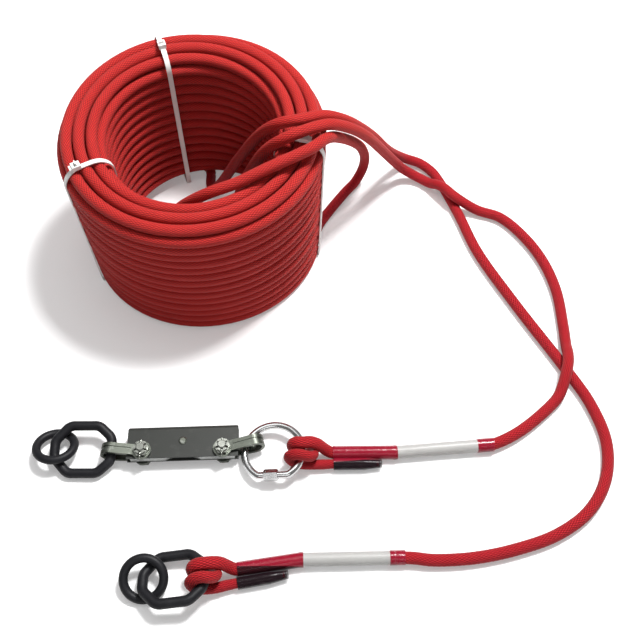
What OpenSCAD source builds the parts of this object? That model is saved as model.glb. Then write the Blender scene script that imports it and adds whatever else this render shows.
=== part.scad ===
// Glider aerotow rope, wound for the store
//
// About 40 m of 11 mm braided rope, wound on itself as a free-standing coil
// that three cable ties hold. Both ends come off the coil and end in a round
// turn eye under a shrink tube. End A carries a round screw link, a weak link
// between two strap shackles, an oval link and a round release ring. End B
// carries the oval link and the ring alone.
//
// Frame: mm, +Z up, floor at z = 0, origin under the middle of the whole part.

/* [Display] */
// Sub-part to build, or "all"

/* [Rope] */
// Rope diameter
rope_d = 11; // [8:0.5:14]
// Sides of a free rope stretch
rope_sides = 8; // [6:12]

/* [Coil] */
// Loops shown as one winding
coil_turns = 24; // [12:24]
// Rings in a loop
turn_rings = 22; // [16:36]
// Radius of the innermost column of turns
coil_ri = 86.5; // [60:120]
// Radius of the outermost column at the rim
coil_ro = 120.9; // [90:160]
// Radius of the outermost column at the floor
coil_rb = 115; // [90:160]
// Height of the rim's rope centre
coil_h = 162; // [80:240]
// Height of the lowest turn's rope centre
coil_foot = 6.2; // [5.5:0.1:8]
// Radius of the rim's two rounded edges, at the rope centre
rim_r = 12; // [10:16]
// Half width of a turn across its neighbours
turn_half = 4.6; // [4:0.1:5.5]
// How much the far side of the rim stands higher and the near side lower
rim_lean = 0.06; // [0:0.01:0.1]
// Angle at which the outer turn leaves the coil
coil_exit = -5; // [-30:30]

/* [Cable ties] */
// Strap width
tie_w = 4.8; // [2.5:0.1:9]
// Strap thickness
tie_t = 1.1; // [0.8:0.1:2]
// Direction of the tie at the back
tie_1_at = 110; // [0:360]
// Direction of the tie at the front left
tie_2_at = 209; // [0:360]
// Direction of the tie at the right
tie_3_at = 348; // [0:360]

/* [Eyes] */
// Radius of the wraps' rope centre
wrap_r = 10.4; // [9:0.1:13]
// Half thickness of the pressed rope in the wraps
wrap_n = 4.55; // [4:0.05:5.5]
// Half width of the pressed rope in the wraps
wrap_b = 5.6; // [5:0.05:7]
// Distance of each wrap from the middle of the eye
wrap_off = 6; // [5:0.1:8]

/* [Sleeves] */
// Outer radius of the shrink tube over one rope
tube_r = 6.4; // [6:0.05:8]
// Bore radius of the shrink tube over one rope
tube_bore = 5.85; // [5.6:0.05:7]
// Outer radius of the shrink tube over the rope tail
tail_tube_r = 5.6; // [5:0.05:7]
// Radius of the rope tail under its tape
tail_r = 4.2; // [4:0.05:5.5]

/* [Quick link] */
// Outside diameter
ql_od = 60; // [40:80]
// Wire diameter
ql_d = 7; // [5:10]
// Length of the screw sleeve
ql_nut_l = 13; // [8:20]
// Outer diameter of the screw sleeve across its flats
ql_nut_af = 9.4; // [8:0.1:12]

/* [Links and rings] */
// Wire diameter of an oval link
oval_d = 9; // [6:0.5:10]
// Wire diameter of a round ring
ring_d = 7.8; // [6:0.1:10]
// Outside diameter of a round ring
ring_od = 41.8; // [30:60]

/* [Weak link] */
// Length of the folded sleeve
sleeve_l = 101; // [80:130]
// Width of the folded sleeve
sleeve_w = 32; // [24:40]
// Thickness over the folded sleeve
sleeve_t = 8.7; // [6:0.1:12]
// Sheet of the folded sleeve
sleeve_s = 1.5; // [1:0.1:2]
// Distance between the two bolts
bolt_pitch = 73.2; // [60:90]
// Bolt radius
bolt_r = 4; // [3:0.5:5]
// Thickness of a shackle strap
strap_t = 3; // [2:0.5:4]
// Width of a shackle strap
strap_w = 10; // [8:14]
// Distance from a bolt to the middle of its shackle's bow
bow_x = 28.75; // [24:0.05:36]
// Inner radius of a shackle's bow
bow_r = 6.35; // [5:0.05:8]

/* [Hidden] */
// moves the layout so that the origin lies under the middle of the part
place = [7.96, -0.78, 0];
// how far, and how much thinner, a straight bar enters a bent one
lap = 0.3;
hair = 0.1;
coil_c = [-131.3, 139.7, 0];
rope_r = rope_d / 2;

red = [0.76, 0.13, 0.13];
dark_red = [0.5, 0.09, 0.1];
steel = [0.7, 0.71, 0.72];
zinc = [0.58, 0.6, 0.55];
black = [0.13, 0.14, 0.15];
white = [0.88, 0.88, 0.86];

// the loop off the outer turn, over the rim and down into the hole
loop_route = [[-12, 151, 6.1], [16, 196, 5.7], [27, 209, 8], [35, 217, 20], [37, 216, 38],
    [34, 207, 60], [28, 194, 82], [10, 157, 129], [-6, 118, 167.5], [-19, 101, 173],
    [-60, 80, 168], [-84, 70, 162], [-110, 65, 154], [-134, 71, 132], [-152, 85, 100],
    [-161, 105, 64], [-160, 128, 32], [-150, 144, 12], [-135, 151, 6], [-120, 152, 5.6]];
// the same rope from the hole's floor over the rim to end A
run_a_route = [[-120, 152, 5.6], [-109, 150.5, 13], [-94, 145, 62], [-84, 139, 94],
    [-60.4, 116.6, 155], [-44.4, 111.6, 173.4], [-25, 117, 179], [-5, 129.5, 174], [15, 144, 156],
    [33, 161, 128], [70, 213, 36], [83, 220, 15.5], [97, 217, 8], [111, 207, 8.5], [118, 200, 14],
    [125, 192, 17], [135, 180, 17.3], [159, 170, 7], [184, 160, 5.7], [206, 134, 5.7],
    [222, 102, 5.7], [231, 64, 5.7], [232, 20, 5.7], [230.5, -5, 8.5], [229, -18, 14.8],
    [226, -33, 17.6], [216.5, -59, 8], [206, -71, 5.7], [173, -98, 5.7], [148, -110.6, 6.6],
    [139, -111.7, 6.9]];
// the inner end, from the hole's wall over the rim to end B
run_b_route = [[-134, 220.9, 6], [-133.5, 209, 6.5], [-130, 196, 12], [-120, 187, 29],
    [-95, 168, 87], [-65, 140, 154], [-48, 131, 174], [-29, 131, 179], [-8, 143, 172],
    [12, 158, 152], [28.5, 176, 124], [44, 197, 90], [59, 215, 55], [72, 231, 29],
    [86, 241, 11.5], [101, 240, 5.7], [114, 227, 5.7], [123, 209, 5.7], [139, 165, 5.7],
    [155, 113, 5.7], [187, 46, 5.7], [228, -32, 5.7], [245, -69, 5.7], [253, -108, 5.7],
    [246, -145, 5.7], [226, -175, 5.7], [196, -196, 5.7], [160, -209, 5.7], [122, -217, 5.7],
    [86, -219.2, 6.2], [69, -217.6, 6.8], [54, -217.1, 6.9]];

// eye A: middle of the wire, then the rope's corners under the shrink tube
eye_a_c = [-27.8, -123.9, 15.35];
eye_a_turn = -8;
eye_a_throat = [0.3, -119.4, 7];
eye_a_knee = [57.3, -118.9, 6.9];
eye_a_mouth = [148, -111, 6.9];
eye_a_tail = [[-17, -130.6, 5.9], [-8, -130.4, 5.9], [1, -130, 5.9], [29, -129.8, 5.9],
    [42, -129.6, 5.9]];
eye_a_lead = [[-4, -118.5, 8.8], [-8.8, -117.4, 13.7], [-13.4, -116.7, 19.6],
    [-20, -117, 24.6]];
// eye B
eye_b_c = [-108.4, -236.6, 17.2];
eye_b_turn = 4;
eye_b_throat = [-81.5, -227.5, 7.2];
eye_b_knee = [-27.5, -219, 6.9];
eye_b_mouth = [61.5, -217, 6.9];
eye_b_tail = [[-98, -243, 6.9], [-90, -240.7, 6], [-81, -238.8, 5.9], [-54, -234, 5.9],
    [-41, -231.7, 5.9]];
eye_b_lead = [[-85.6, -227.2, 9.2], [-90.4, -226.4, 14.2], [-95, -226.3, 20.2],
    [-101, -227.6, 25]];
// lean of link B's bar, which its eye follows
bar_lean = 11;

// weak link: the right bolt, the sleeve's direction and its middle height
bolt_a = [-99.5, -119.5, 11.65];
weak_turn = 2;
bolt_b = bolt_a - bolt_pitch * [cos(weak_turn), sin(weak_turn), 0];
right_turn = 195;
left_turn = -4;
// the sleeve reaches further to the fold than to the open edge
bolt_off = -9.2;
arm_z = sleeve_t / 2 + 0.15;

// quick link: level of its two ends, and its tilt
ql_r = (ql_od - ql_d) / 2;
ql_z = [9.8, 15.35];
ql_tilt = asin((ql_z[1] - ql_z[0]) / (2 * ql_r));
ql_c = [-53.6, -120.9, (ql_z[0] + ql_z[1]) / 2];
ql_flat = 12;
ql_bend = 5;
ql_flat_y = ql_bend + sqrt((ql_r - ql_bend) * (ql_r - ql_bend) - ql_flat * ql_flat);

// oval link corners before their rounding
left_bow = bolt_b + rz([-bow_x, 0, 0], left_turn);
oval_half = [[26, -10.5], [26, 10.5], [13.8, 21.6], [-13.3, 21.6], [-26, 7.5], [-26, -7.5],
    [-13.3, -21.6], [13.8, -21.6]];
oval_fillet = 10;
// middles of the two bars that hold the links
oval_a_lean = 17;
link_a_c = left_bow + 1.8 * [0, cos(oval_a_lean), sin(oval_a_lean)];
link_b_c = [-108.3, -235.3, 16.8];
oval_a_tilt = -1.6;
oval_a_turn = 0;
oval_b_lean = -12;
oval_b_tilt = -6;
ring_r = (ring_od - ring_d) / 2;
ring_a_lean = -19;
ring_a_turn = -4;
ring_b_lean = 26.5;

// ---------------------------------------------------------------- functions

function unit(v) = v / norm(v);

function rz(v, a) = [v[0] * cos(a) - v[1] * sin(a), v[0] * sin(a) + v[1] * cos(a), v[2]];

function flat(list) = [for (a = list) for (b = a) b];

// direction of the path p at its point i
function heading(p, i) = unit(p[min(i + 1, len(p) - 1)] - p[max(i - 1, 0)]);

// side vectors that turn with the path and never twist about it
function carried(p, u, i = 0, done = []) =
    i == len(p) ? done
    : let (t = heading(p, i), v = unit(u - (u * t) * t)) carried(p, v, i + 1, concat(done, [v]));

// outline rings of n points around the path p, h and w being the two half widths at each point
function tube_rings(p, u, h, w, n) =
    let (side = carried(p, u))
    [for (i = [0:len(p) - 1]) let (t = heading(p, i), a = side[i], b = cross(t, a))
        [for (k = [0:n - 1]) p[i] + a * h[i] * cos(360 * k / n) + b * w[i] * sin(360 * k / n)]];

function tube_faces(m, n) = flat([
    flat([for (i = [0:m - 2]) for (k = [0:n - 1]) let (j = (k + 1) % n)
        [[i * n + k, (i + 1) * n + k, (i + 1) * n + j], [i * n + k, (i + 1) * n + j, i * n + j]]]),
    [for (k = [1:n - 2]) [0, k, k + 1]],
    [for (k = [1:n - 2]) [(m - 1) * n, (m - 1) * n + k + 1, (m - 1) * n + k]]]);

function same(value, count) = [for (i = [1:count]) value];

// The coil's winding, followed as one line s from the hole's wall over the rim
// and down the outer wall. wall_in, rim_s and wall_out are its three lengths.
taper = atan((coil_ro - coil_rb) / (coil_h - rim_r - coil_foot));
turns_in = 7;
turns_rim = 4;
turns_out = coil_turns - turns_in - turns_rim;
pitch_in = 11.2;
wall_in = turns_in * pitch_in;
rim_flat = coil_ro - coil_ri - 2 * rim_r;
arc_in = PI * rim_r / 2;
arc_out = PI * rim_r * (90 + taper) / 180;
rim_s = arc_in + rim_flat + arc_out;
rim_end = [coil_ro - rim_r + rim_r * cos(taper), coil_h - rim_r - rim_r * sin(taper)];
wall_out = (rim_end[1] - coil_foot) / cos(taper);

// distance along the line after u turns; each turn climbs in its far half only
function climbed(u) = floor(u) + min(1, 2 * (u - floor(u)));
function along(u) =
    let (c = climbed(u))
    c < turns_in ? c * pitch_in
    : c < turns_in + turns_rim ? wall_in + (c - turns_in) * rim_s / turns_rim
    : wall_in + rim_s + (c - turns_in - turns_rim) * wall_out / turns_out;

// radius, height and the way the surface faces at the distance s
function trace(s) =
    s < wall_in ? [coil_ri, coil_h - rim_r - wall_in + s, 180]
    : s < wall_in + arc_in ?
        let (a = 180 - 90 * (s - wall_in) / arc_in)
        [coil_ri + rim_r + rim_r * cos(a), coil_h - rim_r + rim_r * sin(a), a]
    : s < wall_in + arc_in + rim_flat ? [coil_ri + rim_r + s - wall_in - arc_in, coil_h, 90]
    : s < wall_in + rim_s ?
        let (a = 90 - (90 + taper) * (s - wall_in - arc_in - rim_flat) / arc_out)
        [coil_ro - rim_r + rim_r * cos(a), coil_h - rim_r + rim_r * sin(a), a]
    : let (d = s - wall_in - rim_s)
        [rim_end[0] - d * sin(taper), rim_end[1] - d * cos(taper), -taper];

function lean(z, a) = coil_foot + (z - coil_foot) * (1 + rim_lean * sin(a));

// six corners of a turn's section, as radius and height
function section(u) =
    let (q = trace(along(u)), c = lean(q[1], coil_exit + 360 * u))
    [for (k = [0:5]) let (n = rope_r * cos(60 * k), w = turn_half / sin(60) * sin(60 * k))
        [q[0] + n * cos(q[2]) - w * sin(q[2]), c + n * sin(q[2]) + w * cos(q[2])]];

coil_u = [for (i = [0:coil_turns * turn_rings]) min(i / turn_rings, coil_turns - 0.00001)];
function on_circle(q, a) = [q[0] * cos(a), q[0] * sin(a), q[1]];
function winding_ring(u) = [for (q = section(u)) on_circle(q, coil_exit + 360 * u)];
ring_first = winding_ring(0);
ring_last = winding_ring(coil_turns - 0.00001);
exit_way = [-sin(coil_exit), cos(coil_exit), 0];
winding = concat([[for (q = ring_first) q - rope_d * exit_way]], [for (u = coil_u) winding_ring(u)],
    [[for (q = ring_last) q + rope_d * exit_way]]);
coil_end = coil_c + [coil_rb * cos(coil_exit), coil_rb * sin(coil_exit), coil_foot]
    + rope_d * exit_way;

// least distance from point q to the closed outline o
function edge_gap(q, a, b) =
    let (t = max(0, min(1, ((q - a) * (b - a)) / ((b - a) * (b - a))))) norm(q - a - t * (b - a));
function outline_gap(p, o) =
    min([for (q = p) for (k = [0:5]) edge_gap(q, o[k], o[(k + 1) % 6])]);
function turn_gap(i, step) =
    let (a = section(coil_u[i]), b = section(coil_u[i + step * turn_rings]))
    min(outline_gap(a, b), outline_gap(b, a));
coil_gap = min([for (step = [1, 2]) for (i = [0:2:(coil_turns - step) * turn_rings])
    turn_gap(i, step)]);
echo(coil_least_gap_to_itself = coil_gap);

wound_mm = PI * (coil_ri + coil_rb);
echo(rope_in_24_turns_m = coil_turns * wound_mm / 1000);

// ------------------------------------------------------------------ helpers

module swept(p, u, h, w, n) {
    rings = tube_rings(p, u, h, w, n);
    polyhedron(points = flat(rings), faces = tube_faces(len(p), n), convexity = 10);
}

module free_rope(route) {
    swept(route, [0, 0, 1], same(rope_r, len(route)), same(rope_r, len(route)), rope_sides);
}

// round bar or cone from point a to point b
module rod(a, b, r1, r2) {
    d = b - a;
    translate(a) rotate([0, acos(d[2] / norm(d)), atan2(d[1], d[0])])
        cylinder(h = norm(d), r1 = r1, r2 = r2);
}

// closed wire through flat corner points, each rounded to the radius f
module wire_loop(c, f, d) {
    n = len(c);
    for (i = [0:n - 1]) {
        p = c[i];
        q = c[(i + 1) % n];
        s = c[(i + n - 1) % n];
        r = c[(i + 2) % n];
        turn_p = turning(s, p, q);
        turn_q = turning(p, q, r);
        cut_p = f * tan(turn_p / 2);
        cut_q = f * tan(turn_q / 2);
        way = unit(q - p);
        a0 = atan2(way[1], way[0]);
        // a straight runs a little way into its bends and is a hair thinner
        start = p + (cut_p - lap) * way;
        translate([start[0], start[1], 0]) rotate([0, 90, a0])
            cylinder(h = norm(q - p) - cut_p - cut_q + 2 * lap, d = d - hair);
        translate([q[0] - way[0] * cut_q, q[1] - way[1] * cut_q, 0]) rotate([0, 0, a0])
            translate([0, f, 0]) rotate([0, 0, -90])
                rotate_extrude(angle = turn_q) translate([f, 0]) circle(d = d);
    }
}

function turning(a, b, c) =
    let (t = atan2(c[1] - b[1], c[0] - b[0]) - atan2(b[1] - a[1], b[0] - a[0])) (t + 720) % 360;

// ---------------------------------------------------------------- rope nodes

module rope_coil() {
    color(red) translate(place + coil_c)
        polyhedron(points = flat(winding), faces = tube_faces(len(winding), 6), convexity = 20);
}

// inner layers, plain, set back from the winding over them
module rope_coil_core() {
    sag = 1 - cos(180 / turn_rings);
    out_top = (coil_ro - rope_r) * (1 - sag) - 0.4;
    out_foot = (coil_rb - rope_r) * (1 - sag) - 0.4;
    in_r = coil_ri + rope_r + 0.4;
    low_r = coil_ri - rope_r + 0.5;
    shoulder = coil_h - rim_r - wall_in - 11;
    step_r = [coil_ri + rim_r - 1.5, coil_ro - rim_r + 1.4];
    lean_a = atan(rim_lean * (coil_h - coil_foot) / 103.5);
    color(dark_red) translate(place + coil_c) {
        intersection() {
            rotate_extrude() polygon([[low_r, 0], [out_foot, 0], [out_foot, coil_foot],
                [out_top, coil_h - rim_r], [out_top, coil_h], [in_r, coil_h],
                [in_r, shoulder], [low_r, shoulder]]);
            translate([0, 0, coil_h - rim_r - 0.8]) rotate([lean_a, 0, 0])
                translate([-150, -150, -300]) cube([300, 300, 300]);
        }
        intersection() {
            rotate_extrude() translate([step_r[0], coil_h - 60])
                square([step_r[1] - step_r[0], 60]);
            translate([0, 0, coil_h - rope_r - 1.3]) rotate([lean_a, 0, 0])
                translate([-150, -150, -300]) cube([300, 300, 300]);
        }
        // step that the first turn starts against
        rotate([0, 0, coil_exit - 24]) rotate_extrude(angle = 16)
            translate([low_r + lap, shoulder - lap]) square([in_r - low_r + 1, 13.5 + lap]);
    }
}

module rope_loop() {
    color(red) translate(place) free_rope(concat([coil_end], loop_route));
}

module rope_run_a() {
    color(red) translate(place) free_rope(run_a_route);
}

module rope_run_b() {
    color(red) translate(place) free_rope(run_b_route);
}

// Round turn of rope about a wire, one and a half wraps: the main part comes
// over the top, and the tail leaves along the floor beside it.
module rope_eye(c, lean_x, turn, mouth, knee, throat, lead, tail) {
    wraps = 18;
    x_dir = rz([1, 0, 0], turn);
    y_dir = rz([0, cos(lean_x), -sin(lean_x)], turn);
    z_dir = rz([0, sin(lean_x), cos(lean_x)], turn);
    start = mouth + (knee - mouth) * rope_d * 0.82 / norm(knee - mouth);
    ends = concat([for (f = [0, 0.5, 1]) start + f * (knee - start)],
        [knee + 0.5 * (throat - knee), throat], lead);
    round_turn = [for (i = [0:wraps]) let (a = 90 + 540 * i / wraps,
            s = a < 300 ? 1 : a > 420 ? -1 : cos(180 * (a - 300) / 120))
        c + wrap_r * cos(a) * x_dir + wrap_off * s * y_dir + wrap_r * sin(a) * z_dir];
    path = concat(ends, round_turn, tail);
    n_end = len(ends);
    half_n = concat(same(rope_r, n_end - 2), [5.3, 5], same(wrap_n, wraps + 1),
        [4.65, 4.6, tail_r, tail_r, 2.5]);
    half_b = concat(same(rope_r, n_end - 2), [5.5, 5.6], same(wrap_b, wraps - 2),
        [5.4, 5, 4.7, 4.7, 4.6, tail_r, tail_r, 2.5]);
    color(red) translate(place) swept(path, [0, 0, 1], half_n, half_b, rope_sides);
}

module rope_eye_a() {
    rope_eye(eye_a_c, 0, eye_a_turn, eye_a_mouth, eye_a_knee, eye_a_throat, eye_a_lead, eye_a_tail);
}

module rope_eye_b() {
    rope_eye(eye_b_c, bar_lean, eye_b_turn, eye_b_mouth, eye_b_knee, eye_b_throat, eye_b_lead, eye_b_tail);
}

// dark tape around the cut tail
module tail_tape(a, b, e) {
    way = unit(e - b);
    end = b + 0.85 * (e - b);
    color(black) translate(place) difference() {
        union() {
            rod(a, b + lap * way, tail_r + 0.3, tail_r + 0.3);
            rod(b, end, tail_r + 0.26, 3.1);
        }
        rod(a - way, b + lap * way, tail_r + 0.08, tail_r + 0.08);
        rod(b, e, tail_r + 0.04, 2.58);
    }
}

module tail_tape_a() {
    tail_tape(eye_a_tail[2], eye_a_tail[3], eye_a_tail[4]);
}

module tail_tape_b() {
    tail_tape(eye_b_tail[2], eye_b_tail[3], eye_b_tail[4]);
}

// clear tube shrunk over the rope and, near the eye, over its tail as well
module shrink_tube(mouth, knee, throat, tail) {
    tail_in = tail[2];
    tail_bend = tail[3];
    tail_tip = tail[4] + 3 * unit(tail[4] - tail[3]);
    way = unit(throat - knee);
    out = unit(mouth - knee);
    fold = unit(out - way);
    x_dir = -way;
    across = tail_in + [11, 0, 0] - throat;
    y_dir = unit(across - (across * x_dir) * x_dir);
    z_dir = cross(x_dir, y_dir);
    reach = across * y_dir;
    color([0.9, 0.86, 0.84, 0.6]) translate(place) difference() {
        union() {
            rod(throat, knee, tube_r, tube_r);
            rod(knee, mouth, tube_r, tube_r);
            // the film's fold where the rope bends
            rod(knee - 1.6 * fold, knee + 1.6 * fold, tube_r + 0.25, tube_r + 0.25);
            rod(tail_in, tail_bend + lap * unit(tail_bend - tail_in), tail_tube_r, tail_tube_r);
            rod(tail_bend, tail_tip, tail_tube_r - 0.15, 3.7);
            // film drawn across from the rope to its tail
            multmatrix([for (k = [0:2]) [x_dir[k], y_dir[k], z_dir[k], throat[k]]])
                translate([0.5, 0, -2.4]) cube([25, reach - 1, 4.8]);
        }
        rod(throat + 2 * way, knee, tube_bore, tube_bore);
        rod(knee, mouth + 2 * out, tube_bore, tube_bore);
        rod(knee - 1.2 * fold, knee + 1.2 * fold, tube_bore + 0.15, tube_bore + 0.15);
        rod(tail_in - 5 * unit(tail_bend - tail_in), tail_bend + lap * unit(tail_bend - tail_in),
            tail_r + 0.4, tail_r + 0.4);
        rod(tail_bend, tail[4] + 1.5 * unit(tail[4] - tail[3]), tail_r + 0.36, 3.05);
    }
}

module shrink_tube_a() {
    shrink_tube(eye_a_mouth, eye_a_knee, eye_a_throat, eye_a_tail);
}

module shrink_tube_b() {
    shrink_tube(eye_b_mouth, eye_b_knee, eye_b_throat, eye_b_tail);
}

// white sleeve between the rope and the clear tube
module white_sleeve(mouth, knee) {
    way = unit(mouth - knee);
    color(white) translate(place) difference() {
        rod(knee + 2 * way, knee + 76 * way, tube_bore - 0.05, tube_bore - 0.05);
        rod(knee, knee + 77 * way, tube_bore - 0.25, tube_bore - 0.25);
    }
}

module white_sleeve_a() {
    white_sleeve(eye_a_mouth, eye_a_knee);
}

module white_sleeve_b() {
    white_sleeve(eye_b_mouth, eye_b_knee);
}

// --------------------------------------------------------------- cable ties

// flat band through corners in the XZ plane, each corner i rounded to f[i]
module band(c, f, w, t) {
    n = len(c);
    for (i = [0:n - 1]) {
        p = c[i];
        q = c[(i + 1) % n];
        turn_p = turning(c[(i + n - 1) % n], p, q);
        turn_q = turning(p, q, c[(i + 2) % n]);
        cut_p = f[i] * tan(turn_p / 2);
        fq = f[(i + 1) % n];
        cut_q = fq * tan(turn_q / 2);
        way = unit(q - p);
        a0 = atan2(way[1], way[0]);
        translate([p[0] + way[0] * cut_p, p[1] + way[1] * cut_p]) rotate([0, 0, a0])
            translate([-lap, -t / 2 + hair / 4, -w / 2 + hair / 4])
                cube([norm(q - p) - cut_p - cut_q + 2 * lap, t - hair / 2, w - hair / 2]);
        translate([q[0] - way[0] * cut_q, q[1] - way[1] * cut_q]) rotate([0, 0, a0])
            translate([0, fq, 0]) rotate([0, 0, -90]) rotate_extrude(angle = turn_q)
                translate([fq - t / 2, -w / 2]) square([t, w]);
    }
}

module cable_tie(at, head_r, tail_l) {
    k = 1 + rim_lean * sin(at);
    gap = rope_r + tie_t / 2 + 0.4;
    in_r = (coil_ri - rope_r) * cos(180 / turn_rings) - tie_t / 2 - 0.4;
    top = lean(coil_h, at) + gap;
    out_top = coil_ro + gap;
    out_foot = coil_rb + gap;
    low = tie_t / 2 + 0.05;
    corners = [[out_foot, low], [out_top, top], [in_r, top], [in_r, low]];
    rounds = [3, rim_r + gap, rim_r + gap, 3];
    head_z = top + tie_t / 2 - 0.3;
    color(white) translate(place + coil_c) rotate([0, 0, at]) {
        rotate([90, 0, 0]) band(corners, rounds, tie_w, tie_t);
        // head on the rim, with the slot that the strap's end comes through
        translate([head_r - 4, -3.6, head_z]) difference() {
            union() {
                cube([8, 7.2, 4.4]);
                translate([8, 3.6 - 2.9, 0]) cube([2.4, 5.8, 2.6]);
            }
            translate([3, 3.6 - tie_w / 2 - 0.1, 1.2]) cube([2, tie_w + 0.2, 5]);
        }
        // cut end of the strap in the slot
        translate([head_r - 0.6, -tie_w / 2, head_z + 1]) cube([tie_t, tie_w, 3.4 + tail_l]);
    }
}

module cable_tie_1() {
    cable_tie(tie_1_at, 98, 2);
}

module cable_tie_2() {
    cable_tie(tie_2_at, 112, 3);
}

module cable_tie_3() {
    cable_tie(tie_3_at, 108, 0.5);
}

// --------------------------------------------------------------- quick link

module on_quick_link() {
    translate(place + ql_c) rotate([0, -ql_tilt, 0]) children();
}

// round wire link; the gate at the near side is bridged by the screw sleeve
module quick_link_body() {
    gate = asin(ql_flat / (ql_r - ql_bend));
    inside = lap / ql_bend * 57.3;
    color(steel) on_quick_link() {
        rotate([0, 0, -90 + gate]) rotate_extrude(angle = 360 - 2 * gate)
            translate([ql_r, 0]) circle(d = ql_d);
        // the bend on each side of the gate
        for (side = [-1, 1]) translate([side * ql_flat, ql_bend - ql_flat_y, 0])
            rotate([0, 0, side > 0 ? -90 : -90 - gate - inside])
                rotate_extrude(angle = gate + inside)
                    translate([ql_bend, 0]) circle(d = ql_d - hair);
        // plain end and threaded end
        translate([-ql_flat - lap, -ql_flat_y, 0]) rotate([0, 90, 0])
            cylinder(h = 6 + lap, d = ql_d - 2 * hair);
        translate([-3.6, -ql_flat_y, 0]) rotate([0, 90, 0])
            cylinder(h = ql_flat + 3.6 + lap, d = ql_d - 2 * hair);
    }
}

// hexagon screw sleeve with turned ends
module quick_link_nut() {
    color(steel) on_quick_link() translate([-8.2, -ql_flat_y, 0]) rotate([0, 90, 0])
        difference() {
            intersection() {
                cylinder(h = ql_nut_l, d = ql_nut_af / cos(30), $fn = 6);
                union() {
                    cylinder(h = 1.2, r1 = 4.6, r2 = 5.5);
                    translate([0, 0, 1.2]) cylinder(h = ql_nut_l - 2.4, r = 5.5);
                    translate([0, 0, ql_nut_l - 1.2]) cylinder(h = 1.2, r1 = 5.5, r2 = 4.6);
                }
            }
            translate([0, 0, -1]) cylinder(h = ql_nut_l + 2, r = ql_d / 2 + 0.08);
        }
}

// ---------------------------------------------------------------- weak link

module at_bolt(p, turn) {
    translate(place + p) rotate([0, 0, turn]) children();
}

// Side view of the strap between two depths from its inner face, drawn in XZ:
// two sloping arms and one bow away from the bolt, along -X.
module strap_side(near, far, inset) {
    arm = bow_x - 5;
    reach = norm([arm, arm_z]);
    slope = asin(bow_r / reach) - atan(arm_z / arm);
    run = sqrt(reach * reach - bow_r * bow_r);
    for (side = [1, -1]) scale([1, side])
        translate([-5, arm_z]) rotate(-slope) translate([-run - lap, near + hair / 2])
            square([run + lap - inset, far - near - hair]);
    translate([-bow_x, 0]) difference() {
        circle(r = bow_r + far);
        circle(r = bow_r + near);
        polygon([[0, 0], [40 * sin(slope), 40 * cos(slope)], [60, 40], [60, -40],
            [40 * sin(slope), -40 * cos(slope)]]);
    }
}

module shackle() {
    difference() {
        union() {
            rotate([90, 0, 0]) translate([0, 0, -strap_w / 2])
                linear_extrude(strap_w) strap_side(0, strap_t, -0.6);
            for (side = [1, -1]) scale([1, 1, side])
                translate([0, 0, arm_z]) cylinder(h = strap_t, r = 8.6);
        }
        translate([0, 0, -20]) cylinder(h = 40, r = bolt_r + 0.08);
        // pressed channel along both arms and around the bow
        rotate([90, 0, 0]) translate([0, 0, -1.6])
            linear_extrude(3.2) strap_side(strap_t - 0.9, strap_t + 3, 5);
    }
}

module shackle_right() {
    color(zinc) at_bolt(bolt_a, right_turn) shackle();
}

module shackle_left() {
    color(zinc) at_bolt(bolt_b, left_turn) shackle();
}

module on_both_bolts() {
    for (p = [bolt_a, bolt_b]) at_bolt(p, weak_turn) children();
}

module shackle_bolts() {
    head = 11.65 - arm_z - strap_t - 0.15;
    color(zinc) on_both_bolts() difference() {
        union() {
            translate([0, 0, -11.65]) cylinder(h = head, d = 13 / cos(30), $fn = 6);
            translate([0, 0, -11.65]) cylinder(h = 25.9, r = bolt_r);
            translate([0, 0, 14.25]) cylinder(h = 0.8, r1 = bolt_r, r2 = bolt_r - 0.8);
        }
        // hole for the split pin
        translate([0, 12, 11.9]) rotate([90, 0, 0]) cylinder(h = 24, r = 1);
    }
}

module castle_nuts() {
    color(zinc) on_both_bolts() translate([0, 0, arm_z + strap_t + 0.15]) difference() {
        intersection() {
            cylinder(h = 6, d = 13 / cos(30), $fn = 6);
            union() {
                cylinder(h = 1, r1 = 6.6, r2 = 7.6);
                translate([0, 0, 1]) cylinder(h = 2.6, r = 7.6);
                translate([0, 0, 3.6]) cylinder(h = 2.4, r = 6.1);
            }
        }
        translate([0, 0, -1]) cylinder(h = 9, r = bolt_r + 0.02);
        for (a = [30, 90, 150]) rotate([0, 0, a]) translate([-10, -1.1, 3.3]) cube([20, 2.2, 4]);
    }
}

module split_pins() {
    color(steel) on_both_bolts() translate([0, 0, 11.9]) {
        translate([0, 7.2, 0]) rotate([90, 0, 0]) cylinder(h = 14.2, r = 0.85);
        translate([0, -8.6, 0]) rotate([0, 90, 0]) rotate_extrude() translate([1.5, 0]) circle(r = 0.75);
    }
}

module in_sleeve() {
    at_bolt(bolt_a, weak_turn) translate([-bolt_pitch / 2, 0, 0]) children();
}

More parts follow.
